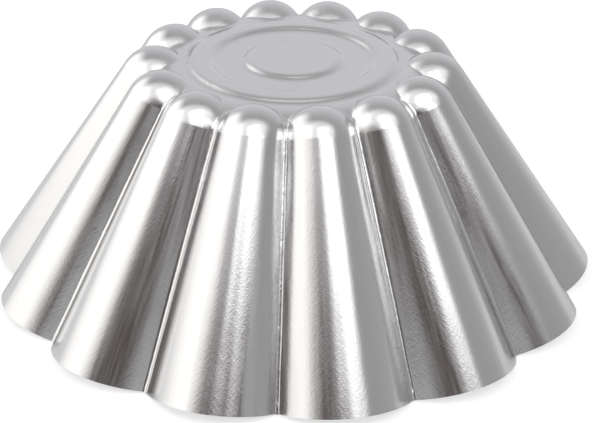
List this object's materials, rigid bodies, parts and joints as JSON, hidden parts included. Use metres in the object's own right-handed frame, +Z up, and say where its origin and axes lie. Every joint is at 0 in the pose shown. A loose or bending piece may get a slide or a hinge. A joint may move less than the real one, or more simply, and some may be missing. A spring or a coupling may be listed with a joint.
{
  "type": "brioche mould",
  "caption": "Small fluted brioche mould of plain sheet aluminium, shown mouth down, with round-topped flutes and pressed rings on its base",
  "frame": {"origin": "on the mould's axis, in the plane that its lowest points stand on, mouth down", "axes": "+Z points up along the mould's axis from the mouth to the pressed base; +X points through the crest of one flute"},
  "size_m": [0.075, 0.0736, 0.0286],
  "materials": {
    "aluminium": "bright rolled"
  },
  "bodies": {
    "root": {"mould_shell": "aluminium"}
  },
  "joints": []
}
